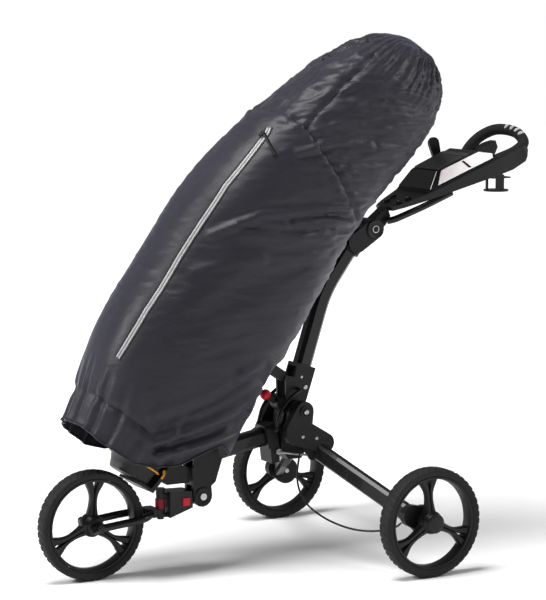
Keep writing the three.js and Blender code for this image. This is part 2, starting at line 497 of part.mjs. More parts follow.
const bagSections = [[-20, 10, 52, 82], [20, 25, 76, 98], [60, 64, 116, 110], [300, 62, 152, 120], [560, 26, 160, 122],
  [800, -18, 142, 120], [985, -52, 120, 112]];
const inside = (sections, skin) => sections.map(([s, m, a, b]) => [s, m, a - skin, b - skin]);
const bagBaseTop = 52;
const sliceOf = (sections, from, to, grow) => {
  const at = (s) => {
    const i = Math.max(1, sections.findIndex((row) => row[0] >= s));
    const [low, high] = [sections[i - 1], sections[i]];
    const t = (s - low[0]) / (high[0] - low[0]);
    return [s, ...[1, 2, 3].map((k) => low[k] + (high[k] - low[k]) * t + (k > 1 ? grow : 0))];
  };
  return [at(from), ...sections.filter(([s]) => s > from && s < to).map(([s, m, a, b]) => [s, m, a + grow, b + grow]),
    at(to)];
};
piece('bag_base', loft(sliceOf(bagSections, -20, bagBaseTop, 3), 28, 2.3), finish.nylon());
const bagTube = loft(sliceOf(bagSections, bagBaseTop + GAP, 985, 0), 28, 2.3);
const bagHollow = loft([...inside(sliceOf(bagSections, 75, 985, 0), 6), [990, -53, 114, 106]], 28, 2.3);
piece('bag_body', cut(bagTube, bagHollow), finish.bagCloth());

const clubs = [['driver', -100, -45, 1190], ['iron', -60, 52, 1150]];
for (const [name, m, y, top] of clubs) {
  const [x0, z0] = bagPoint(90, m * 0.4 + 78);
  const [x1, z1] = bagPoint(top, m);
  const shaft = cylinder([x0, y * 0.6, z0], [x1, y, z1], 6, 8);
  const head = new THREE.SphereGeometry(30, 12, 8).scale(1.2, 0.8, 0.75).translate(x1, y, z1);
  piece(`club_${name}`, join(shaft, head), finish.steel());
}

const coverSections = [[-10, 6, 205, 142], [60, 6, 208, 148], [140, 20, 220, 158], [300, 38, 226, 165],
  [520, 34, 228, 165], [720, 28, 222, 163], [870, 8, 204, 158], [1000, -26, 196, 152], [1110, -58, 186, 145],
  [1200, -82, 162, 130], [1270, -92, 126, 104], [1315, -94, 84, 72], [1338, -94, 44, 38]];
const COVER_SKIN = 4;
const coverOuter = loft(coverSections, 32, 2.5);
const coverInner = loft(inside(coverSections.map(([s, ...rest]) => [s - 6, ...rest]), COVER_SKIN), 32, 2.5);
const hemCurve = [[21, 212], [8, 170], [3, 79], [20, 25], [56, -32], [112, -80], [160, -128], [150, -215]];
const hemCut = plate([...hemCurve.map(([along, m]) => bagPoint(along, m)), bagPoint(150, -300), bagPoint(-120, -300),
  bagPoint(-120, 320), bagPoint(21, 320)], -220, 220);
const tubeSlot = plate([bagPoint(40, -60), bagPoint(262, -120), bagPoint(262, -260), bagPoint(40, -260)], -56, 56);
const cradleWindow = plate([bagPoint(712, -120), bagPoint(828, -120), bagPoint(828, -260), bagPoint(712, -260)], -54, 54);
piece('rain_cover', cut(coverOuter, coverInner, hemCut, tubeSlot, cradleWindow), finish.fabric());

const ZIP_TOP = [-314.4, -90.3, 1118.9];
const ZIP_HEADING = new THREE.Vector3(-0.702, -0.089, -0.706);
const zipEnd = vec(ZIP_TOP).addScaledVector(ZIP_HEADING, 16).toArray();
piece('zip_pull', join(beam(ZIP_TOP, zipEnd, 9, 7, 2), beam([-314, -92, 1114.5], [-308, -140, 1062], 9, 4, 1)),
  finish.nylon());
piece('cover_strap', plate([bagPoint(398, -198), bagPoint(424, -198), bagPoint(424, -250), bagPoint(398, -250)], -14, 14),
  finish.bagCloth());

export default cart;
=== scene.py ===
import math

import bpy
import numpy as np
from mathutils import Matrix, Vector, noise


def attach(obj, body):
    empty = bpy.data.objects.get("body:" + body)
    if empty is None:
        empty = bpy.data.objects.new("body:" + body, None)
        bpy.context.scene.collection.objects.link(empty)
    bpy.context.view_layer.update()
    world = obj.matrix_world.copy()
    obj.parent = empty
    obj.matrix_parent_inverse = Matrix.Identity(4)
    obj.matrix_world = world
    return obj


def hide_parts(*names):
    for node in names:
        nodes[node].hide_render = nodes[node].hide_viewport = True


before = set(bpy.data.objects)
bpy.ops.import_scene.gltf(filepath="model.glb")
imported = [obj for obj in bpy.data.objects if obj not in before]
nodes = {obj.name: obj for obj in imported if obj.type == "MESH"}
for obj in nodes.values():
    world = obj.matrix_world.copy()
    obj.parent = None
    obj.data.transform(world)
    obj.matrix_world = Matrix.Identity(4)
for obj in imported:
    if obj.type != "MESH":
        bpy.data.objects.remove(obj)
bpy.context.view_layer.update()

# ---------------------------------------------------------------- studio
# The cart stands on a pale sweep of paper under three soft lamps, in a room that is white at eye
# level. A long lens looks at it from the front left, a little above the wheels.
REAR_AXLE = 0.191
CAMERA_DISTANCE = 5.793
camera_data = bpy.data.cameras.new("studio_camera")
camera_data.lens = 134.1
camera_data.sensor_width = 36
camera_data.clip_end = 60
camera = bpy.data.objects.new("studio_camera", camera_data)
bpy.context.scene.collection.objects.link(camera)
aim = Vector((REAR_AXLE - 0.2366, 0, 0.6759))
toward_camera = Vector((-0.4854, -0.8650, 0.1271))
camera.location = aim + toward_camera * CAMERA_DISTANCE
camera.rotation_euler = toward_camera.to_track_quat("Z", "Y").to_euler()
bpy.context.scene.camera = camera

def lamp(name, place, size, power):
    data = bpy.data.lights.new(name, "AREA")
    data.shape = "DISK"
    data.size = size
    data.energy = power
    obj = bpy.data.objects.new(name, data)
    obj.location = place
    obj.rotation_euler = (Vector(place) - Vector((0, 0, 0.6))).to_track_quat("Z", "Y").to_euler()
    bpy.context.scene.collection.objects.link(obj)

lamp("overhead_lamp", (-1.2, -0.4, 4.4), 2.4, 230)
lamp("left_lamp", (-4.4, 0.6, 3.2), 1.6, 170)
lamp("right_lamp", (3.8, -2.2, 2.4), 1.2, 60)

def white_room():
    """Light that is full at eye level and dim overhead."""
    room = bpy.data.worlds.new("white_room")
    room.use_nodes = True
    tree = room.node_tree
    place = tree.nodes.new("ShaderNodeTexCoord")
    height = tree.nodes.new("ShaderNodeSeparateXYZ")
    dome = tree.nodes.new("ShaderNodeMapRange")
    dome.inputs["From Min"].default_value = 0.03
    dome.inputs["From Max"].default_value = 0.16
    dome.inputs["To Min"].default_value = 1.0
    dome.inputs["To Max"].default_value = 0.16
    tree.links.new(place.outputs["Generated"], height.inputs["Vector"])
    tree.links.new(height.outputs["Z"], dome.inputs["Value"])
    tree.links.new(dome.outputs["Result"], tree.nodes["Background"].inputs["Strength"])
    tree.nodes["Background"].inputs["Color"].default_value = (1, 1, 1, 1)
    return room

bpy.context.scene.world = white_room()
bpy.context.scene.view_settings.view_transform = "Standard"

def build(name, verts, faces, material, smooth=True):
    """A mesh object from vertices in metres; smooth ones keep their edges of more than 38 degrees."""
    mesh = bpy.data.meshes.new(name)
    mesh.from_pydata([tuple(v) for v in verts], [], [tuple(int(i) for i in f) for f in faces])
    mesh.validate()
    obj = bpy.data.objects.new(name, mesh)
    bpy.context.scene.collection.objects.link(obj)
    mesh.materials.append(material)
    if smooth:
        mesh.shade_smooth()
        mesh.set_sharp_from_angle(angle=math.radians(38))
    else:
        mesh.shade_flat()
    return obj

def paper_material():
    """White paper that takes shadows near the cart; further off it glows, painted light that rises with
    distance from the origin and washes its shadows out to plain white.
    """
    material = bpy.data.materials.new("sweep_paper")
    material.use_nodes = True
    tree = material.node_tree
    shader = tree.nodes["Principled BSDF"]
    shader.inputs["Base Color"].default_value = (0.93, 0.93, 0.93, 1)
    shader.inputs["Roughness"].default_value = 0.9
    shader.inputs["Emission Color"].default_value = (1, 1, 1, 1)
    place = tree.nodes.new("ShaderNodeTexCoord")
    reach = tree.nodes.new("ShaderNodeVectorMath")
    reach.operation = "LENGTH"
    # Painted light: the paper's glow grows from nothing at 0.7 m from the origin to 0.95 at 3.2 m.
    glow = tree.nodes.new("ShaderNodeMapRange")
    glow.inputs["From Min"].default_value = 0.7
    glow.inputs["From Max"].default_value = 3.2
    glow.inputs["To Max"].default_value = 0.95
    tree.links.new(place.outputs["Object"], reach.inputs[0])
    tree.links.new(reach.outputs["Value"], glow.inputs["Value"])
    tree.links.new(glow.outputs["Result"], shader.inputs["Emission Strength"])
    return material

sweep_corners = [(-14, -9, 0), (14, -9, 0), (14, 30, 0), (-14, 30, 0)]
sweep = build("paper_sweep", sweep_corners, [(0, 1, 2, 3)], paper_material())

# ---------------------------------------------------------------- brake cable
# A rubber-jacketed wire in a 5 mm sleeve. It leaves the left leg's boot straight down, hangs in a
# slack loop under the leg and ends in the brake at the left wheel.
def moulded(name, colour, rough, grain=500.0, depth=0.12, patch=9.0, spread=0.25, metallic=0.0,
        coat=0.0, shine=0.2):
    """A surface with fine grain, a slow drift of colour and gloss, and a soft bump."""
    material = bpy.data.materials.new(name)
    material.use_nodes = True
    tree = material.node_tree
    shader = tree.nodes["Principled BSDF"]
    place = tree.nodes.new("ShaderNodeTexCoord")
    drift = tree.nodes.new("ShaderNodeTexNoise")
    drift.inputs["Scale"].default_value = patch
    drift.inputs["Detail"].default_value = 5
    tree.links.new(place.outputs["Object"], drift.inputs["Vector"])
    ramp = tree.nodes.new("ShaderNodeValToRGB")
    ramp.color_ramp.elements[0].position = 0.3
    ramp.color_ramp.elements[1].position = 0.72
    ramp.color_ramp.elements[0].color = (*[c * (1 - spread) for c in colour], 1)
    ramp.color_ramp.elements[1].color = (*[min(1, c * (1 + spread)) for c in colour], 1)
    tree.links.new(drift.outputs["Fac"], ramp.inputs["Fac"])
    tree.links.new(ramp.outputs["Color"], shader.inputs["Base Color"])
    gloss = tree.nodes.new("ShaderNodeMapRange")
    gloss.inputs["To Min"].default_value = max(0.02, rough - 0.07)
    gloss.inputs["To Max"].default_value = min(1, rough + 0.07)
    tree.links.new(drift.outputs["Fac"], gloss.inputs["Value"])
    tree.links.new(gloss.outputs["Result"], shader.inputs["Roughness"])
    fine = tree.nodes.new("ShaderNodeTexNoise")
    fine.inputs["Scale"].default_value = grain
    fine.inputs["Detail"].default_value = 2
    tree.links.new(place.outputs["Object"], fine.inputs["Vector"])
    bump = tree.nodes.new("ShaderNodeBump")
    bump.inputs["Strength"].default_value = depth
    bump.inputs["Distance"].default_value = 0.0006
    tree.links.new(fine.outputs["Fac"], bump.inputs["Height"])
    tree.links.new(bump.outputs["Normal"], shader.inputs["Normal"])
    shader.inputs["Metallic"].default_value = metallic
    shader.inputs["Specular IOR Level"].default_value = 0.5 if metallic else shine
    shader.inputs["Coat Weight"].default_value = coat
    return material

cable_jacket = moulded("cable_jacket", (0.012, 0.012, 0.012), 0.5)

def cart_point(x, y, z):
    """A place given in millimetres from the middle of the rear axle on the ground."""
    return Vector((x / 1000 + REAR_AXLE, y / 1000, z / 1000))

def smooth_path(points, per_span=8):
    """A centripetal Catmull-Rom line through the points."""
    pts = [Vector(p) for p in points]
    pts = [pts[0] * 2 - pts[1]] + pts + [pts[-1] * 2 - pts[-2]]
    line = []
    for p0, p1, p2, p3 in zip(pts, pts[1:], pts[2:], pts[3:]):
        t1 = max((p1 - p0).length, 1e-9) ** 0.5
        t2 = t1 + max((p2 - p1).length, 1e-9) ** 0.5
        t3 = t2 + max((p3 - p2).length, 1e-9) ** 0.5
        for k in range(per_span):
            t = t1 + (t2 - t1) * k / per_span
            a1 = p0 * ((t1 - t) / t1) + p1 * (t / t1)
            a2 = p1 * ((t2 - t) / (t2 - t1)) + p2 * ((t - t1) / (t2 - t1))
            a3 = p2 * ((t3 - t) / (t3 - t2)) + p3 * ((t - t2) / (t3 - t2))
            b1 = a1 * ((t2 - t) / t2) + a2 * (t / t2)
            b2 = a2 * ((t3 - t) / (t3 - t1)) + a3 * ((t - t1) / (t3 - t1))
            line.append(b1 * ((t2 - t) / (t2 - t1)) + b2 * ((t - t1) / (t2 - t1)))
    line.append(pts[-2])
    return line

def tube(name, line, radius, material, sides=16, flat=1.0, swell=None):
    """A round or oval rod along a line, closed at both ends. swell gives the radius along it."""
    line = [Vector(p) for p in line]
    verts = []
    faces = []
    side = None
    for i, p in enumerate(line):
        along = (line[min(i + 1, len(line) - 1)] - line[max(i - 1, 0)]).normalized()
        if side is None:
            across = along.orthogonal() if abs(along.y) > 0.99 else along.cross(Vector((0, 1, 0)))
            side = across.normalized()
        side = (side - along * side.dot(along)).normalized()
        other = along.cross(side)
        r = radius if swell is None else swell[i]
        for k in range(sides):
            a = 2 * math.pi * k / sides
            verts.append(p + side * (r * flat * math.cos(a)) + other * (r * math.sin(a)))
    for i in range(len(line) - 1):
        for k in range(sides):
            n = (k + 1) % sides
            faces.append((i * sides + k, i * sides + n, (i + 1) * sides + n, (i + 1) * sides + k))
    faces.append(tuple(reversed(range(sides))))
    faces.append(tuple(range((len(line) - 1) * sides, len(line) * sides)))
    return build(name, verts, faces, material)

CABLE_RADIUS = 0.0026
CABLE_ROUTE = [(-192, -65, 287), (-197, -66, 262), (-203, -69, 230), (-205, -78, 195), (-199, -104, 158),
    (-184, -150, 132), (-166, -210, 117), (-142, -270, 111), (-108, -322, 116), (-74, -347, 128),
    (-62, -352, 137)]
cable_line = smooth_path([cart_point(*p) for p in CABLE_ROUTE], 5)
cable = tube("brake_cable_sleeve", cable_line, CABLE_RADIUS, cable_jacket, sides=12)
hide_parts("brake_cable")
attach(cable, "left_leg")

# ---------------------------------------------------------------- tyres
# Solid foam-filled rubber tyres pressed on the rims. The tread is moulded: slanting lugs across the
# crown and a row of shorter blocks round each shoulder.
tyre_rubber = moulded("tyre_rubber", (0.011, 0.011, 0.0115), 0.68, grain=900, depth=0.3, patch=30)
AXLE_HEIGHT = 140
LUGS = 46
TYRE_HALF = [(118.6, -16.5), (120, -18.6), (123, -20.2), (127, -21.4), (131, -22.2), (134, -22.4),
    (136.4, -21.2), (138, -19.2), (139, -17), (139.6, -14), (139.9, -11), (140, -8), (140, -5), (140, -2.5)]
TYRE_PROFILE = TYRE_HALF + [(140, 0)] + [(r, -y) for r, y in reversed(TYRE_HALF)]

def spin(at, turn, verts):
    """Stands a wheel-shaped mesh, made round the Y axis in mm, at its axle and turns it."""
    a = math.radians(turn)
    x, y, z = np.array(verts).T
    along = x * math.cos(a) + z * math.sin(a)
    up = z * math.cos(a) - x * math.sin(a)
    return [cart_point(at[0] + px, at[1] + py, AXLE_HEIGHT + pz) for px, py, pz in zip(along, y, up)]

def tread_depth(angle, r, y):
    """How far the moulded tread drops below the crown, in mm."""
    if r < 127:
        return 0.0
    across = abs(y)
    lean = 0.028 * (22 - across)
    half_pitch = 0.5 if y > 0 else 0.0
    phase = (angle / (2 * math.pi) * LUGS + lean + half_pitch) % 1
    groove = max(0.0, 1 - abs(phase - 0.5) / 0.17)
    groove = min(1.0, groove * 2.2)
    deep = 2.4 if across > 6 else 0.9
    if r < 134:
        deep = 1.3 * (r - 127) / 7
    rib = 0.7 if 9.5 < across < 12 else 0.0
    return max(groove * deep, rib)

def tyre_mesh(at, turn):
    steps = LUGS * 10
    rows = len(TYRE_PROFILE)
    verts = []
    for i in range(steps):
        angle = 2 * math.pi * i / steps
        for r, y in TYRE_PROFILE:
            d = r - tread_depth(angle, r, y)
            verts.append((d * math.cos(angle), y, d * math.sin(angle)))
    faces = []
    for i in range(steps):
        n = (i + 1) % steps
        for k in range(rows):
            m = (k + 1) % rows
            faces.append((i * rows + k, i * rows + m, n * rows + m, n * rows + k))
    return spin(at, turn, verts), faces

# Each wheel's axle place in mm, how far it is turned in degrees, and which side its cap is on.
WHEELS = {"front": ((-760, 0), 5, 0), "left": ((0, -388), -5, -1), "right": ((0, 388), -5, 1)}
for side, (at, turn, cap) in WHEELS.items():
    verts, faces = tyre_mesh(at, turn)
    tyre = build(f"{side}_tyre_treaded", verts, faces, tyre_rubber)
    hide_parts(f"{side}_tyre")
    body = f"{side}_wheel"
    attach(tyre, body)

# ---------------------------------------------------------------- rims
# One-piece rims of glass-filled nylon: a flanged ring, a stepped barrel hub and three spokes that
# spread into two arms where they meet the ring.
rim_nylon = moulded("rim_nylon", (0.0075, 0.0075, 0.008), 0.36, grain=700, depth=0.1, patch=14)

def lathe(profile, steps=72, hole=False):
    """(vertices, faces) of a profile of (radius, y) turned round the Y axis."""
    verts = []
    faces = []
    rows = len(profile)
    for i in range(steps):
        a = 2 * math.pi * i / steps
        verts += [(r * math.cos(a), y, r * math.sin(a)) for r, y in profile]
    for i in range(steps):
        n = (i + 1) % steps
        for k in range(rows if hole else rows - 1):
            m = (k + 1) % rows
            faces.append((i * rows + k, i * rows + m, n * rows + m, n * rows + k))
    return verts, faces

def gather(parts):
    """One mesh from several."""
    verts = []
    faces = []
    for v, f in parts:
        base = len(verts)
        verts += [tuple(p) for p in v]
        faces += [tuple(i + base for i in face) for face in f]
    return verts, faces

ARM_SECTION = ((-1, -0.55), (-0.6, -1), (0.6, -1), (1, -0.55), (1, 0.55), (0.6, 1), (-0.6, 1), (-1, 0.55))
ARM_STEPS = 24

def spoke(angle):
    """A spoke as two swept arms, which are one near the hub and part towards the ring."""
    parts = []
    around = len(ARM_SECTION)
    for hand in (-1, 1):
        verts = []
        for i in range(ARM_STEPS + 1):
            t = i / ARM_STEPS
            outer = 15 - 5.5 * math.sin(math.pi * min(1, t / 0.8)) + 62 * max(0, t - 0.5) ** 2
            inner = -0.2 if t < 0.62 else -0.2 + 22 * (t - 0.62) ** 1.3
            thick = 14 - 4.5 * math.sin(math.pi * t * 0.9)
            mid = (inner + outer) / 2
            wide = (outer - inner) / 2
            verts += [(22 + 93 * t, d * thick, hand * (mid + c * wide)) for c, d in ARM_SECTION]
        faces = []
        for i in range(ARM_STEPS):
            for k in range(around):
                n = (k + 1) % around
                faces.append((i * around + k, i * around + n, (i + 1) * around + n, (i + 1) * around + k))
        faces.append(tuple(reversed(range(around))))
        faces.append(tuple(range(ARM_STEPS * around, (ARM_STEPS + 1) * around)))
        if hand < 0:
            faces = [face[::-1] for face in faces]
        turned = [(x * math.cos(angle) - z * math.sin(angle), y, x * math.sin(angle) + z * math.cos(angle))
            for x, y, z in verts]
        parts.append((turned, faces))
    return gather(parts)

RING = [(118, -18.6), (118, 18.6), (115.5, 19), (112.6, 17.6), (111.6, 14.5), (110.8, 6), (110.4, 0),
    (110.8, -6), (111.6, -14.5), (112.6, -17.6), (115.5, -19)]
BARREL = [(6.4, -26), (17, -26), (19.5, -24.6), (20.4, -21), (25.5, -16), (29.4, -11.5), (30, -6),
    (30, 6), (29.4, 11.5), (25.5, 16), (20.4, 21), (19.5, 24.6), (17, 26), (6.4, 26)]
CAP_FACE = 26.4
CAP_DOME = [(0, 6), (9, 5.8), (10, 4.4), (17, 4.4), (22, 3.2), (24.6, 1.2), (25, 0)]
for side, (at, turn, cap) in WHEELS.items():
    spokes = [spoke(math.radians(a)) for a in (90, 210, 330)]
    verts, faces = gather([lathe(RING, 96, True), lathe(BARREL, 48, True), *spokes])
    rim = build(f"{side}_rim_cast", spin(at, turn, verts), faces, rim_nylon)
    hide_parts(f"{side}_rim")
    body = f"{side}_wheel"
    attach(rim, body)
    if cap:
        verts, faces = lathe([(r, (CAP_FACE + rise) * cap) for r, rise in CAP_DOME], 48)
        hub_cap = build(f"{side}_cap_pressed", spin(at, turn, verts), faces, rim_nylon)
        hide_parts(f"{side}_hub_cap")
        body = f"{side}_wheel"
        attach(hub_cap, body)

# ---------------------------------------------------------------- fork
# A steel tube bent into a U round the front wheel and powder-coated black. It is held by a nylon
# clamp on an upright spindle, and a plated axle with nuts goes through its two ends.
black_paint = moulded("black_paint", (0.0055, 0.0055, 0.006), 0.27, grain=1400, depth=0.05, patch=7,
    coat=0.15)
black_nylon = moulded("black_nylon", (0.0075, 0.0075, 0.008), 0.42, grain=800, depth=0.14, patch=12)
plated_steel = moulded("plated_steel", (0.42, 0.42, 0.43), 0.3, grain=1600, depth=0.06, patch=40,
    metallic=1.0)

def dress(name, material, bevel=0.0015, crease=34):
    """Finishes a CAD part: its material, and small rounded edges."""
    obj = nodes[name]
    obj.data.materials.clear()
    obj.data.materials.append(material)
    if bevel:
        edge = obj.modifiers.new("rounded_edges", "BEVEL")
        edge.width = bevel
        edge.segments = 2
        edge.limit_method = "ANGLE"
        edge.angle_limit = math.radians(crease)
        edge.harden_normals = False
    return obj

def stand(obj, body, *stands_for, slot=None):
    """The piece rides on the body, and stands for these CAD parts."""
    if stands_for:
        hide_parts(*stands_for)
    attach(obj, body)
    return obj

FORK_RADIUS = 0.0098
FORK_HALF = [(-772, -46, 137), (-715, -46, 142), (-660, -46, 147), (-628, -41, 150), (-607, -24, 153)]
fork_route = FORK_HALF + [(-598, 0, 155)] + [(x, -y, z) for x, y, z in reversed(FORK_HALF)]
fork_line = smooth_path([cart_point(*p) for p in fork_route], 6)
fork_tube = tube("fork_bent_tube", fork_line, FORK_RADIUS, black_paint, sides=20)
stand(fork_tube, "fork", "fork_tube", slot="black_paint")
dress("front_axle", black_paint, 0.0008)
dress("fork_yoke", black_nylon, 0.0022)

def ring_of(radius, height, steps):
    return [(radius * math.cos(2 * math.pi * i / steps), height, radius * math.sin(2 * math.pi * i / steps))
        for i in range(steps)]

def bolt_head(name, place, out, radius, body, material, tall=0.4):
    """A round-headed screw with a six-sided socket, seen from outside."""
    rise = radius * tall
    steps = 24
    verts = []
    for r, h in ((radius, 0), (radius, rise * 0.45), (radius * 0.86, rise * 0.82), (radius * 0.62, rise)):
        verts += ring_of(r, h, steps)
    socket = radius * 0.42
    for h in (rise, rise * 0.25):
        for i in range(steps):
            a = 2 * math.pi * i / steps
            across = socket * math.cos(math.pi / 6) / math.cos((a % (math.pi / 3)) - math.pi / 6)
            verts.append((across * math.cos(a), h, across * math.sin(a)))
    faces = []
    for low in range(0, 5 * steps, steps):
        for i in range(steps):
            n = (i + 1) % steps
            faces.append((low + i, low + steps + i, low + steps + n, low + n))
    faces.append(tuple(range(5 * steps, 6 * steps)))
    faces.append(tuple(range(steps)))
    turn = Vector(out).normalized().to_track_quat("Y", "Z").to_matrix()
    verts = [Vector(place) + (turn @ Vector(v)) / 1000 for v in verts]
    return stand(build(name, verts, faces, material), body)

BOTH_SIDES = ((-1, "left"), (1, "right"))
for hand, side in BOTH_SIDES:
    nut_at = cart_point(-760, 62 * hand, 140)
    bolt_head(f"fork_axle_nut_{side}", nut_at, (0, hand, 0), 6.5, "fork", black_paint)

# ---------------------------------------------------------------- fork block
# The moulded block that carries the spindle and swings up to fold the front wheel. A red button on
# its side frees it, and a red ring under the cap trims the tracking.
red_plastic = moulded("red_plastic", (0.42, 0.012, 0.02), 0.33, grain=900, depth=0.05, patch=20)
dark_red = moulded("dark_red", (0.16, 0.006, 0.012), 0.42, grain=900, depth=0.05, patch=20)
block_nylon = moulded("block_nylon", (0.012, 0.012, 0.0125), 0.42, grain=900, depth=0.12, patch=14)
dress("fork_block", block_nylon, 0.003)
dress("fork_button", red_plastic, 0.0022)
dress("tracking_collar", dark_red, 0.0012)
dress("spindle_pin", black_nylon, 0.0014)
dress("front_knuckle", black_nylon, 0.0026)
dress("fork_pivot_pin", plated_steel, 0.0008)

def disc(name, place, out, profile, body, material, steps=40):
    """A turned part: a profile of (radius, height) in mm about the direction out."""
    verts, faces = lathe(profile, steps)
    turn = Vector(out).normalized().to_track_quat("Y", "Z").to_matrix()
    verts = [Vector(place) + (turn @ Vector(v)) / 1000 for v in verts]
    return stand(build(name, verts, faces, material), body)

PIVOT_WASHER = [(0, 3.4), (7, 3.4), (9, 2.6), (9.6, 1.6), (17, 1.6), (19, 2.8), (22.5, 2.8), (24.4, 1.4),
    (25, 0)]
for hand, side in BOTH_SIDES:
    out = (0, hand, 0)
    washer_at = cart_point(-457, 26.2 * hand, 185)
    screw_at = cart_point(-457, 29.8 * hand, 185)
    disc(f"fork_pivot_washer_{side}", washer_at, out, PIVOT_WASHER, "frame", black_nylon)
    bolt_head(f"fork_pivot_screw_{side}", screw_at, out, 4.6, "frame", plated_steel)

# ---------------------------------------------------------------- lower frame
# A square aluminium tube, powder-coated, runs from the hub to the front knuckle, and the moulded
# foot shelf over the knuckle takes the bottom of the bag.
dress("lower_tube", black_paint, 0.0018)
dress("bag_shelf", black_nylon, 0.0025)
dress("hub_casting", black_nylon, 0.0022)
dress("main_pivot_bolt", plated_steel, 0.0008)
dress("link_carriage", black_nylon, 0.0022)
dress("carriage_bolt", plated_steel, 0.0008)

# ---------------------------------------------------------------- fold knob
# A ball knob of red plastic on a short neck, with a black ferrule round it. Pulling the knob frees
# the main pivot.
dress("fold_knob", red_plastic, 0)
KNOB_WAY = Vector((-0.87, 0, 0.493))
FERRULE = [(7.2, 10), (9.4, 10), (10, 8), (10.4, 0), (10.4, -16), (7.2, -16)]
verts, faces = lathe(FERRULE, 32, True)
turn = KNOB_WAY.to_track_quat("Y", "Z").to_matrix()
ferrule_at = cart_point(-259, 0, 429) - KNOB_WAY * 0.022
verts = [ferrule_at + (turn @ Vector(v)) / 1000 for v in verts]
stand(build("knob_ferrule", verts, faces, black_nylon), "fold_knob")

# ---------------------------------------------------------------- fold links
# Two bent steel rods from the clevis to the carriage, and two thin rods from the carriage to the
# legs, so that the legs swing in as the upper frame folds down.
ROD_EYE = [(0, 5), (4.5, 5), (6.2, 4), (7.4, 2), (7.6, -2), (7.6, -5), (0, -5)]
for hand, side in BOTH_SIDES:
    y = 48 * hand
    route = [(-181, y, 443), (-205, y, 428), (-226, y, 409), (-242, y, 386), (-250, y, 362), (-253, y, 342)]
    line = smooth_path([cart_point(*p) for p in route], 6)
    rod = tube(f"fold_rod_{side}", line, 0.0045, black_paint, sides=14)
    stand(rod, "fold_links", f"fold_link_{side}", slot="black_paint")
    eye_at = cart_point(-253, y, 344)
    disc(f"fold_rod_eye_{side}", eye_at, (0, hand, 0), ROD_EYE, "fold_links", black_nylon, 24)
    # The left link, nearer the camera, is plated steel while its twin is black paint: the silver is a
    # painted highlight on a black rod.
    dress(f"leg_link_{side}", plated_steel if hand < 0 else black_paint, 0)

# ---------------------------------------------------------------- upper frame
# The clevis clamps the foot of the bent upper tube and turns on the main pivot. A moulded hub at
# the tube's top carries the handle's joint, and a small padded cradle steadies the bag.
dress("upper_clevis", black_nylon, 0.002)
dress("upper_tube", black_paint, 0.0022, 50)
dress("handle_hub", black_nylon, 0.003)
dress("handle_pivot_bolt", plated_steel, 0.0008)
dress("bag_cradle", black_nylon, 0.0025)
JOINT_DISC = [(0, 6), (6, 6), (8, 5), (9, 3), (19, 3), (22, 4.4), (25, 3.6), (26.4, 1.6), (26.6, 0)]
for hand, side in BOTH_SIDES:
    out = (0, hand, 0)
    screw_at = cart_point(-155, 27.2 * hand, 444)
    rivet_at = cart_point(-166, 27.2 * hand, 472)
    joint_at = cart_point(55, 30.1 * hand, 849)
    bolt_head(f"clevis_screw_{side}", screw_at, out, 6, "upper_frame", plated_steel)
    bolt_head(f"clevis_rivet_{side}", rivet_at, out, 3.6, "upper_frame", plated_steel)
    disc(f"handle_joint_disc_{side}", joint_at, out, JOINT_DISC, "upper_frame", black_nylon)

# ---------------------------------------------------------------- rear legs
# Two aluminium box tubes swing on the main pivot. Each is riveted into a nylon boot at the hub and
# into the axle block at the wheel, which carries the brake's drum.
LEG_PIVOT_CAP = [(0, 4), (7, 4), (8.4, 3), (9, 1), (14, 1), (15, 0)]
BRAKE_DRUM = [(0, 3), (12, 3), (14, 2), (22, 2), (24, 3.4), (33, 3.4), (36, 1.6), (36.4, -13), (33, -15),
    (0, -15)]
for hand, side in BOTH_SIDES:
    leg = f"{side}_leg"
    dress(f"leg_tube_{side}", black_paint, 0.0018)
    dress(f"leg_bracket_{side}", black_nylon, 0.0045)
    dress(f"axle_block_{side}", black_nylon, 0.003)
    dress(f"rear_axle_{side}", plated_steel, 0)
    out = (0, hand, 0)
    for n, (x, z) in enumerate(((-192, 324), (-151, 317))):
        rivet_at = cart_point(x, 80.1 * hand, z)
        bolt_head(f"leg_rivet_{side}_{n}", rivet_at, out, 4.2, leg, plated_steel)
    cap_at = cart_point(-186, 84 * hand, 390)
    bolt_at = cart_point(-186, 87.6 * hand, 390)
    drum_at = cart_point(0, 357 * hand, 140)
    disc(f"leg_pivot_cap_{side}", cap_at, out, LEG_PIVOT_CAP, leg, black_nylon, 32)
    bolt_head(f"leg_pivot_bolt_{side}", bolt_at, out, 6.4, leg, plated_steel)
    disc(f"brake_drum_{side}", drum_at, out, BRAKE_DRUM, leg, black_nylon, 48)

# ---------------------------------------------------------------- handle joint and shafts
# A moulded knuckle turns on a steel bolt at the top of the upper tube, where the handle tilts. Two
# bent metal shafts run from it into sockets in the console.
dress("handle_knuckle", black_nylon, 0.003)
for hand, side in BOTH_SIDES:
    route = [(92, 30, 869), (108, 39, 873), (132, 54, 885), (185, 72, 909), (262, 79, 941)]
    line = smooth_path([cart_point(x, y * hand, z) for x, y, z in route], 7)
    shaft = tube(f"handle_tube_{side}", line, 0.009, black_paint, sides=20)
    stand(shaft, "handle", f"handle_shaft_{side}", slot="black_paint")

# ---------------------------------------------------------------- console
# A moulded tray with sloping sides, a hinged lid, a glossy front panel, and a pearl-silver score
# card plate with a pencil slot on its left slope. Screws in raised bosses hold its front end.
console_nylon = moulded("console_nylon", (0.009, 0.009, 0.0095), 0.38, grain=700, depth=0.14, patch=9)
piano_black = moulded("piano_black", (0.003, 0.003, 0.0034), 0.08, grain=200, depth=0.01, patch=6, coat=0.6)
pearl_silver = moulded("pearl_silver", (0.8, 0.76, 0.745), 0.36, grain=2200, depth=0.08, patch=60,
    spread=0.05, shine=0.5)
lid_grey = moulded("lid_grey", (0.055, 0.053, 0.0535), 0.36, grain=1000, depth=0.16, patch=10)
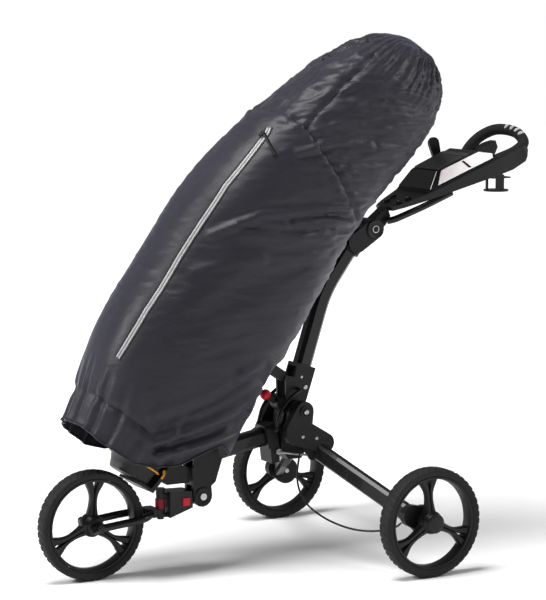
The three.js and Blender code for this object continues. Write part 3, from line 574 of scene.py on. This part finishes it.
# Near-black for painted shade in the console's gaps: the pencil slot's hollow and the lid's seam.
gap_shade_black = moulded("gap_shade_black", (0.004, 0.004, 0.004), 0.6)
dress("console_base", console_nylon, 0.0045, 25)
dress("console_lid", lid_grey, 0.0014)
dress("badge_panel", piano_black, 0.0016)
dress("scorecard_plate", pearl_silver, 0.001)
dress("accessory_mount", black_nylon, 0.0025)
dress("cup_holder", black_nylon, 0.0012)
dress("brake_lever", black_nylon, 0.0028)

TILT = math.radians(22)
DECK_UP = (-math.sin(TILT), 0, math.cos(TILT))

def deck_point(x, y, z):
    """A place on the console in mm: x along its deck, y across, z up from it."""
    forward = 100 + x * math.cos(TILT) - z * math.sin(TILT)
    up = 905 + x * math.sin(TILT) + z * math.cos(TILT)
    return cart_point(forward, y, up)

BOX_FACES = [(0, 1, 3, 2), (4, 6, 7, 5), (0, 4, 5, 1), (2, 3, 7, 6), (0, 2, 6, 4), (1, 5, 7, 3)]
BOSS = [(0, 5), (6.4, 5), (8.6, 4), (9.6, 2), (10, 0)]
for n, (x, y) in enumerate(((30, -30), (56, -38), (30, 30), (56, 38))):
    disc(f"console_boss_{n}", deck_point(x, y, -0.4), DECK_UP, BOSS, "handle", console_nylon, 28)
    bolt_head(f"console_screw_{n}", deck_point(x, y, 4.6), DECK_UP, 3.4, "handle", plated_steel)

# The pencil slot is sunk in the score card, whose plate lies on the deck's left slope. A thin near-black
# block fills it, painted shade for the slot's hollow. A share of 0 is the slope's foot and 1 its top.
SLOT_EDGE = [(228, 0.84), (234, 0.84), (242, 0.3), (236, 0.3)]
slot_verts = []
for rise in (0.0, 0.8):
    for x, share in SLOT_EDGE:
        slope_foot = 83 + 0.049 * (x - 105)
        slope_top = 62 + 0.049 * (x - 157)
        y = -slope_foot * (1 - share) - slope_top * share
        slot_verts.append(deck_point(x, y - 3.4 - rise * 0.86, 38 * share + 1.9 + rise * 0.5))
slot_faces = [(0, 1, 2, 3), (7, 6, 5, 4), (0, 4, 5, 1), (1, 5, 6, 2), (2, 6, 7, 3), (3, 7, 4, 0)]
stand(build("pencil_slot_shade", slot_verts, slot_faces, gap_shade_black, False), "handle")

# A thin near-black strip sits in the gap between the lid and the tray, painted shade for the seam.
seam_corners = [deck_point(x, y, z) for x in (243, 244.6) for y in (-62.6, 62.6) for z in (38.6, 42.8)]
lid_gap_shade = build("lid_gap_shade", seam_corners, BOX_FACES, gap_shade_black)
seam_edge = lid_gap_shade.modifiers.new("rounded_edges", "BEVEL")
seam_edge.width = 0.0002
seam_edge.segments = 2
stand(lid_gap_shade, "console_lid")

# ---------------------------------------------------------------- grip
# A foam sleeve over a bent tube, held at both ends by the console, with a row of four small oval
# pads lying on it.
grip_foam = moulded("grip_foam", (0.009, 0.009, 0.0095), 0.82, grain=1300, depth=0.5, patch=25)
pad_grey = moulded("pad_grey", (0.34, 0.34, 0.345), 0.6, grain=1400, depth=0.2, patch=60, spread=0.1)
GRIP_RADIUS = 0.015
GRIP_ROUTE = [(404, 76, 1022), (426, 78, 1050), (454, 70, 1077), (480, 42, 1096), (494, 0, 1098),
    (503, -42, 1088), (500, -70, 1066), (470, -78, 1046), (404, -76, 1022)]
grip_line = smooth_path([cart_point(*p) for p in GRIP_ROUTE], 10)
grip = tube("grip_sleeve", grip_line, GRIP_RADIUS, grip_foam, sides=28)
stand(grip, "handle", "grip_handle", slot="grip_foam")

PAD_RINGS = 5
PAD_SIDES = 24
PADS_FACE = Vector((-0.25, -0.55, 0.8))

def grip_pad(name, at):
    """An oval pad lying on the sleeve, at one point of the grip's line."""
    centre = grip_line[at]
    along = (grip_line[at + 1] - grip_line[at - 1]).normalized()
    out = (PADS_FACE - along * along.dot(PADS_FACE)).normalized()
    across = out.cross(along)
    verts = []
    for ring in range(PAD_RINGS + 1):
        t = ring / PAD_RINGS
        lift = 0.0152 + 0.0011 * (1 - t ** 4)
        for k in range(PAD_SIDES):
            a = 2 * math.pi * k / PAD_SIDES
            arc = 0.86 * t * math.sin(a)
            reach = out * (lift * math.cos(arc)) + across * (lift * math.sin(arc))
            verts.append(centre + along * (0.0052 * t * math.cos(a)) + reach)
    faces = []
    for low in range(0, PAD_RINGS * PAD_SIDES, PAD_SIDES):
        for k in range(PAD_SIDES):
            m = (k + 1) % PAD_SIDES
            faces.append((low + k, low + PAD_SIDES + k, low + PAD_SIDES + m, low + m))
    pad = build(name, verts, faces, pad_grey)
    skin = pad.modifiers.new("pad_thickness", "SOLIDIFY")
    skin.thickness = 0.0016
    skin.offset = -1
    stand(pad, "handle")

for n in range(4):
    grip_pad(f"grip_pad_{n}", 41 + 4 * n)

# ---------------------------------------------------------------- golf bag and clubs
# The bag itself is woven polyester on a moulded foot, with clubs standing in it. Only its foot
# shows, with a yellow welt round it and a yellow tab sewn into the welt.
BAG_FOOT = (-648, 274)
LEAN = math.radians(56)

def bag_point(s, m, y):
    """A place on the bag in mm: s along it from the foot, m forward from its axis, y across."""
    return cart_point(BAG_FOOT[0] + s * math.cos(LEAN) - m * math.sin(LEAN), y,
        BAG_FOOT[1] + s * math.sin(LEAN) + m * math.cos(LEAN))

bag_cloth = moulded("bag_cloth", (0.02, 0.02, 0.022), 0.75, grain=1500, depth=0.5, patch=16)
welt_yellow = moulded("welt_yellow", (0.62, 0.3, 0.03), 0.55, grain=1200, depth=0.2, patch=50, spread=0.12)
dress("bag_body", bag_cloth, 0.003)
dress("club_driver", plated_steel, 0)
dress("club_iron", plated_steel, 0)
dress("cover_strap", bag_cloth, 0.003)

def oval(angle, power=2.5):
    """A point on an oval of half size 1 that is squarer for a greater power."""
    c = math.cos(angle)
    d = math.sin(angle)
    swell = (abs(c) ** power + abs(d) ** power) ** (-1 / power)
    return c * swell, d * swell

FOOT_OVAL = 2.6
FOOT_SIDES = 64
# The foot's sections: how far along the bag, the middle forward of its axis, and the half sizes.
FOOT_ROWS = [(-20, -2, 20, 40), (-19.6, -2, 38, 66), (-17, -2, 42, 71), (0, 0, 46, 76), (14, 2, 50, 80),
    (17, 2, 53, 84), (50, 12, 62, 92)]
foot_verts = []
for s, middle, deep, wide in FOOT_ROWS:
    for i in range(FOOT_SIDES):
        c, d = oval(2 * math.pi * i / FOOT_SIDES, FOOT_OVAL)
        foot_verts.append(bag_point(s, middle + c * deep, d * wide))
top_row = (len(FOOT_ROWS) - 1) * FOOT_SIDES
foot_faces = [tuple(range(FOOT_SIDES)), tuple(reversed(range(top_row, top_row + FOOT_SIDES)))]
for low in range(0, top_row, FOOT_SIDES):
    for i in range(FOOT_SIDES):
        n = (i + 1) % FOOT_SIDES
        foot_faces.append((low + i, low + FOOT_SIDES + i, low + FOOT_SIDES + n, low + n))
stand(build("bag_foot_moulded", foot_verts, foot_faces, black_nylon), "bag", "bag_base", slot="black_nylon")
welt_line = []
for i in range(73):
    c, d = oval(2 * math.pi * i / 72, FOOT_OVAL)
    welt_line.append(bag_point(18, 3 + c * 56, d * 87))
stand(tube("foot_welt", welt_line, 0.0022, welt_yellow, sides=10), "bag")
tab_line = [bag_point(30, -40, -86), bag_point(22, -42, -92), bag_point(10, -42, -92)]
stand(tube("foot_tab", smooth_path(tab_line, 6), 0.006, welt_yellow, sides=10, flat=0.3), "bag")

# ---------------------------------------------------------------- rain cover
# A fitted shell of thin coated nylon, sewn from a body, a front panel and a hood. The hem and the
# hood's edge are gathered on elastic, so the cloth puckers there, and it hangs in shallow folds.
# The cover's sections: how far along the bag, the middle forward of its axis, and the half sizes.
COVER = [(-12, 6, 203, 141), (60, 6, 208, 148), (140, 20, 221, 158), (300, 38, 228, 166),
    (520, 34, 229, 166), (720, 28, 223, 165), (870, 8, 206, 162), (1000, -26, 198, 157),
    (1110, -58, 188, 150), (1200, -82, 165, 136), (1270, -92, 130, 110), (1315, -94, 88, 76),
    (1336, -94, 50, 44), (1346, -94, 14, 12)]
MIDDLE, DEEP, WIDE = 1, 2, 3
COVER_TOP = 1346
AROUND = 232
ALONG = 270
cover_s = np.array([row[0] for row in COVER], float)

def track(s, column):
    """A smooth curve through one column of the cover's sections."""
    values = np.array([row[column] for row in COVER], float)
    slopes = np.gradient(values, cover_s)
    i = np.clip(np.searchsorted(cover_s, s) - 1, 0, len(cover_s) - 2)
    h = cover_s[i + 1] - cover_s[i]
    t = np.clip((s - cover_s[i]) / h, 0, 1)
    line = values[i] * (1 + 2 * t) * (1 - t) ** 2 + values[i + 1] * t * t * (3 - 2 * t)
    return line + h * (slopes[i] * t * (1 - t) ** 2 - slopes[i + 1] * t * t * (1 - t))

HEM_FORWARD = [-215, -128, -80, -32, 25, 79, 170, 212]
HEM_ALONG = [150, 160, 112, 56, 20, 3, 8, 21]

def hem_at(c):
    """Where along the bag the hem lies, for a share c of the way from its middle to its front."""
    return np.interp(8 + c * 207, HEM_FORWARD, HEM_ALONG)

theta = np.arange(AROUND) * 2 * math.pi / AROUND
ovals = np.array([oval(a) for a in theta])
hem = hem_at(ovals[:, 0])
rows = np.linspace(0, 1, ALONG)
s_grid = hem[None, :] + (COVER_TOP - hem[None, :]) * rows[:, None]
m_grid = track(s_grid, MIDDLE) + ovals[None, :, 0] * track(s_grid, DEEP)
y_grid = ovals[None, :, 1] * track(s_grid, WIDE)

def band(value, start, end):
    """0 before start, 1 after end, with a smooth step between."""
    t = np.clip((value - start) / (end - start), 0, 1)
    return t * t * (3 - 2 * t)

def away(path):
    """Distance in mm of every vertex from a line drawn on the cover's side, in s and m."""
    best = np.full(s_grid.shape, 1e9)
    for (s0, m0), (s1, m1) in zip(path, path[1:]):
        ds, dm = s1 - s0, m1 - m0
        t = np.clip(((s_grid - s0) * ds + (m_grid - m0) * dm) / (ds * ds + dm * dm), 0, 1)
        best = np.minimum(best, np.hypot(s_grid - s0 - t * ds, m_grid - m0 - t * dm))
    return best

def ripple(scale_x, scale_y, scale_z, seed, octaves=2):
    """Sewn cloth's uneven surface: noise over the cover, stretched along the folds."""
    field = np.zeros(s_grid.shape)
    flat = field.ravel()
    world_x = (s_grid * math.cos(LEAN) - m_grid * math.sin(LEAN)).ravel() / 1000
    world_z = (s_grid * math.sin(LEAN) + m_grid * math.cos(LEAN)).ravel() / 1000
    world_y = y_grid.ravel() / 1000
    for i in range(flat.size):
        place = Vector((world_x[i] * scale_x + seed, world_y[i] * scale_y, world_z[i] * scale_z))
        flat[i] = noise.fractal(place, 1.0, 2.0, octaves)
    return field

def ridges(field):
    """Turns noise into sharp-crested wrinkles."""
    return 1 - np.abs(np.clip(field * 2.0, -1, 1)) ** 0.8

# Seams and long folds are drawn on the cover's side as points of (along, forward).
SEAMS = {"hood": [(1222, 34), (1113, 77), (992, 110), (950, 120)],
    "side": [(960, 172), (950, 120), (924, 65), (900, -1), (874, -56), (856, -101), (838, -150)],
    "front": [(1150, 110), (1101, 131), (1041, 153), (979, 172), (955, 186)],
    "hem": [(104, 215), (94, 205), (96, 180), (88, 113), (84, 85)]}
SEAM_DEPTHS = {"hood": 4.2, "side": 4.2, "front": 3.2}
# Each fold is a line, half its width and its height, all in mm; a fold below 0 is a valley.
LONG_FOLDS = [([(582, 200), (692, 120), (808, -45), (848, -98)], 11, 5.5),
    ([(729, 30), (790, -60), (820, -130)], 8, 4.5), ([(640, 150), (700, 30), (770, -80)], 9, -3.5),
    ([(70, 60), (190, -50), (330, -150)], 12, 7.5), ([(60, 40), (160, -60), (270, -150)], 9, -6.5),
    ([(48, 25), (130, -60), (220, -150)], 10, 7), ([(100, 90), (230, -20), (380, -120)], 14, -4.5),
    ([(330, -60), (400, -140), (460, -190)], 16, 4), ([(880, 110), (960, 40), (1010, -60)], 9, 3.2),
    ([(1000, 60), (1060, -60), (1090, -160)], 11, 3.4), ([(1080, 60), (1150, -60), (1190, -160)], 11, -3.2),
    ([(480, 190), (560, 120), (600, 60)], 16, 3), ([(380, 120), (520, 60), (640, -60)], 30, -3)]
ZIP = [(905, 186), (887, 187), (714, 219), (600, 227), (503, 231), (406, 233), (340, 236), (264, 234),
    (205, 232)]

def cover_relief():
    """How far the cloth stands off its fitted shape, in mm, from wrinkles, gathers, seams and folds."""
    rear = band(-m_grid, -120, 60)
    front = band(m_grid, -60, 60)
    hood = band(s_grid, 800, 930)
    above_foot = band(s_grid, 230, 330)
    waist = np.exp(-((s_grid - 760) / 110) ** 2) * rear
    height = 5.0 * ripple(5, 5, 7, 3.1)
    height += (2.8 * hood + 3.8 * waist + 2.0 * above_foot) * (ridges(ripple(5, 8, 27, 11.7)) - 0.6)
    height += (1.5 * hood + 1.5 * waist + 0.8 * above_foot) * (ridges(ripple(14, 20, 62, 23.3)) - 0.6)

    hood_edge = band(s_grid, 1180, 1300) * band(-m_grid, 60, 150)
    pleats = np.cos(theta * 34 + 1.6 * np.sin(theta * 5)) + 0.6 * np.cos(theta * 19)
    height += 4.2 * hood_edge * pleats[None, :]
    crown_edge = band(s_grid, 1140, 1230) * (1 - band(s_grid, 1290, 1330))
    height += 1.8 * crown_edge * np.cos(theta * 40 + 2 * np.sin(theta * 7))[None, :]

    above_hem = s_grid - hem[None, :]
    hem_gather = (1 - band(above_hem, 60, 190)) * (0.08 + 0.92 * front)
    pleats = 0.8 * np.cos(theta * 26 + 1.2 * np.sin(theta * 3)) + 0.4 * np.cos(theta * 41)
    height += 4.6 * hem_gather * pleats[None, :]
    height -= 5.5 * np.exp(-(away(SEAMS["hem"]) / 9) ** 2)
    height += 3.5 * np.exp(-((above_hem - 45) / 30) ** 2) * front

    for seam, depth in SEAM_DEPTHS.items():
        distance = away(SEAMS[seam])
        height -= depth * np.exp(-(distance / 6) ** 2)
        height += 0.8 * np.exp(-((distance - 15) / 9) ** 2)
        height += 1.6 * np.exp(-(distance / 26) ** 2) * np.cos(s_grid * 0.11 + m_grid * 0.16)
    for path, wide, tall in LONG_FOLDS:
        distance = away(path)
        crest = np.exp(-(distance / wide) ** 2)
        trough = np.exp(-((distance - 1.7 * wide) / wide) ** 2)
        height += tall * (crest - 0.55 * trough)
    height *= 1 - 0.75 * np.exp(-(away(ZIP) / 22) ** 2)
    height -= 1.5 * np.exp(-(away(ZIP) / 12) ** 2)
    return np.clip(height, -9, 9) * (1 - band(s_grid, 1325, 1345))

cover_points = np.empty((ALONG, AROUND, 3))
cover_points[..., 0] = (BAG_FOOT[0] + s_grid * math.cos(LEAN) - m_grid * math.sin(LEAN)) / 1000 + REAR_AXLE
cover_points[..., 1] = y_grid / 1000
cover_points[..., 2] = (BAG_FOOT[1] + s_grid * math.sin(LEAN) + m_grid * math.cos(LEAN)) / 1000
step_around = np.roll(cover_points, -1, 1) - np.roll(cover_points, 1, 1)
step_along = np.gradient(cover_points, axis=0)
outward = np.cross(step_along, step_around)
outward /= np.linalg.norm(outward, axis=2, keepdims=True) + 1e-12
middle = np.array(bag_point(600, 20, 0))
if np.sum((cover_points[ALONG // 2, 0] - middle) * outward[ALONG // 2, 0]) < 0:
    outward = -outward
cover_points += outward * cover_relief()[..., None] / 1000

def open_slot(s, m, y):
    """Whether a place is in the slots at the back, round the frame's foot and the cradle."""
    return m < -60 and abs(y) < 56 and (s < 262 or 712 < s < 828)

cover_faces = []
for i in range(ALONG - 1):
    for k in range(AROUND):
        n = (k + 1) % AROUND
        if not open_slot(s_grid[i, k], m_grid[i, k], y_grid[i, k]):
            cover_faces.append((i * AROUND + k, i * AROUND + n, (i + 1) * AROUND + n, (i + 1) * AROUND + k))
cover_faces.append(tuple((ALONG - 1) * AROUND + k for k in range(AROUND)))

def coated_nylon(name, colour, rough):
    """Thin rip-proof nylon: a fine weave, crushed creases, and a cool sheen from its coating."""
    material = moulded(name, colour, rough, grain=260, depth=0.0, patch=6, spread=0.16)
    tree = material.node_tree
    shader = tree.nodes["Principled BSDF"]
    place = tree.nodes.new("ShaderNodeTexCoord")
    stretch = tree.nodes.new("ShaderNodeMapping")
    stretch.inputs["Scale"].default_value = (9, 11, 34)
    stretch.inputs["Rotation"].default_value = (0, 0.12, 0)
    creases = tree.nodes.new("ShaderNodeTexNoise")
    creases.inputs["Scale"].default_value = 1.6
    creases.inputs["Detail"].default_value = 6
    creases.inputs["Roughness"].default_value = 0.62
    weave = tree.nodes.new("ShaderNodeTexNoise")
    weave.inputs["Scale"].default_value = 1500
    tree.links.new(place.outputs["Object"], stretch.inputs["Vector"])
    tree.links.new(stretch.outputs["Vector"], creases.inputs["Vector"])
    tree.links.new(place.outputs["Object"], weave.inputs["Vector"])
    crush = tree.nodes.new("ShaderNodeBump")
    crush.inputs["Strength"].default_value = 0.4
    crush.inputs["Distance"].default_value = 0.004
    tree.links.new(creases.outputs["Fac"], crush.inputs["Height"])
    thread = tree.nodes.new("ShaderNodeBump")
    thread.inputs["Strength"].default_value = 0.12
    thread.inputs["Distance"].default_value = 0.0004
    tree.links.new(weave.outputs["Fac"], thread.inputs["Height"])
    tree.links.new(crush.outputs["Normal"], thread.inputs["Normal"])
    tree.links.new(thread.outputs["Normal"], shader.inputs["Normal"])
    shader.inputs["Sheen Weight"].default_value = 0.12
    shader.inputs["Sheen Tint"].default_value = (0.6, 0.6, 0.85, 1)
    return material

cover_cloth = coated_nylon("cover_cloth", (0.0135, 0.013, 0.0168), 0.42)
cover = build("rain_cover_cloth", cover_points.reshape(-1, 3), cover_faces, cover_cloth)
skin = cover.modifiers.new("cloth_thickness", "SOLIDIFY")
skin.thickness = 0.0012
skin.offset = -1
stand(cover, "bag", "rain_cover", slot="cover_fabric")

def on_cover(s, m, lift=0.0, side=-1):
    """A place on the cover's cloth and the way out of it, side -1 left or 1 right, lifted by mm."""
    middle = float(track(np.array(float(s)), MIDDLE))
    deep = float(track(np.array(float(s)), DEEP))
    c = np.clip((m - middle) / deep, -0.9999, 0.9999)
    d = (1 - abs(c) ** 2.5) ** 0.4 * side
    column = (math.atan2(d, c) % (2 * math.pi)) / (2 * math.pi) * AROUND
    start = float(hem_at(c))
    row = np.clip((s - start) / (COVER_TOP - start) * (ALONG - 1), 0, ALONG - 1.001)
    i = int(row)
    k = int(column) % AROUND
    n = (k + 1) % AROUND
    up = row - i
    over = column - int(column)
    def mix(grid):
        low = grid[i, k] * (1 - over) + grid[i, n] * over
        high = grid[i + 1, k] * (1 - over) + grid[i + 1, n] * over
        return Vector(low * (1 - up) + high * up)
    normal = mix(outward).normalized()
    return mix(cover_points) + normal * (lift / 1000), normal

def dense(path, step=6):
    """The line with a point about every step mm."""
    line = []
    for (s0, m0), (s1, m1) in zip(path, path[1:]):
        count = max(1, int(math.hypot(s1 - s0, m1 - m0) / step))
        line += [(s0 + (s1 - s0) * k / count, m0 + (m1 - m0) * k / count) for k in range(count)]
    return line + [path[-1]]

# ---------------------------------------------------------------- cover seams and piping
# The cover's panels are joined by piped seams, with a thin cord of cloth along each on both sides.
# The hem is edged the same way.
# The seam cloth is the cover's nylon made about three times darker: painted shade along the seams' creases,
# the hem's edge and the zip's facings. The hood's loops are made of it too.
seam_shade_cloth = coated_nylon("seam_shade_cloth", (0.004, 0.004, 0.005), 0.6)
for label, path in SEAMS.items():
    for hand, side in BOTH_SIDES:
        line = [on_cover(s, m, 0.3, hand)[0] for s, m in dense(path)]
        stand(tube(f"cover_seam_{label}_{side}", line, 0.0016, seam_shade_cloth, sides=8), "bag")

hem_line = []
for k in range(AROUND):
    if not open_slot(s_grid[0, k], m_grid[0, k], y_grid[0, k]):
        hem_line.append(Vector(cover_points[0, k]))
split = max(range(len(hem_line)), key=lambda i: (hem_line[(i + 1) % len(hem_line)] - hem_line[i]).length)
hem_line = hem_line[split + 1:] + hem_line[:split + 1]
# The hem's cord is in the darker seam cloth, painted shade under the gathered edge.
stand(tube("cover_hem_elastic", hem_line, 0.0034, seam_shade_cloth, sides=10), "bag")

# ---------------------------------------------------------------- cover zip
# A coil zip on a silver tape is sewn down the front edge of the left side, between two facings of
# the cover's cloth, with a black slider and a plain tab to pull it by.
zip_silver = moulded("zip_silver", (0.27, 0.265, 0.265), 0.5, grain=1800, depth=0.3, patch=80, spread=0.1,
    metallic=0.2)
zip_dark = moulded("zip_dark", (0.13, 0.128, 0.128), 0.5)
zip_path = dense(ZIP, 4)

def zip_band(name, near, far, lift_edge, lift_mid, material):
    """A strip along the zip, from near to far across it and lifted off the cloth, all in mm."""
    verts = []
    faces = []
    for s, m in zip_path:
        at, normal = on_cover(s, m)
        ahead, _ = on_cover(s - 6, m)
        along = (ahead - at).normalized()
        across = normal.cross(along).normalized()
        for t in np.linspace(0, 1, 5):
            lift = lift_edge + (lift_mid - lift_edge) * (1 - (2 * t - 1) ** 2)
            verts.append(at + across * ((near + (far - near) * t) / 1000) + normal * (lift / 1000))
    for i in range(len(zip_path) - 1):
        for k in range(4):
            faces.append((i * 5 + k, i * 5 + k + 1, (i + 1) * 5 + k + 1, (i + 1) * 5 + k))
    obj = build(name, verts, faces, material)
    skin = obj.modifiers.new("tape_thickness", "SOLIDIFY")
    skin.thickness = 0.0007
    return stand(obj, "bag")

zip_band("zip_tape_front", 0.9, 6.4, 0.9, 2.2, zip_silver)
zip_band("zip_tape_rear", -6.4, -0.9, 0.9, 2.2, zip_silver)
zip_band("zip_coil", -1.0, 1.0, 1.6, 2.0, zip_dark)
# The facings are in the darker seam cloth, painted shade along both edges of the zip.
zip_band("zip_facing_front", 6.2, 11, 0.3, 1.8, seam_shade_cloth)
zip_band("zip_facing_rear", -11, -6.2, 0.3, 1.8, seam_shade_cloth)

dress("zip_pull", black_nylon, 0.0012)

# ---------------------------------------------------------------- hanging loops
# Two short loops of webbing are sewn into the hood's seam, for hanging the cover up to dry. Each
# stands up from the seam as a small arch.
for n, (s, m) in enumerate(((1281, 36), (1178, 122))):
    start, normal = on_cover(s, m)
    end, _ = on_cover(s - 26, m + 7)
    crown = (start + end) / 2 + normal * 0.012
    rise = start * 0.6 + crown * 0.4 + normal * 0.004
    fall = end * 0.6 + crown * 0.4 + normal * 0.004
    loop = smooth_path([start, rise, crown, fall, end], 6)
    stand(tube(f"hood_loop_{n}", loop, 0.0032, seam_shade_cloth, sides=10, flat=0.4), "bag")
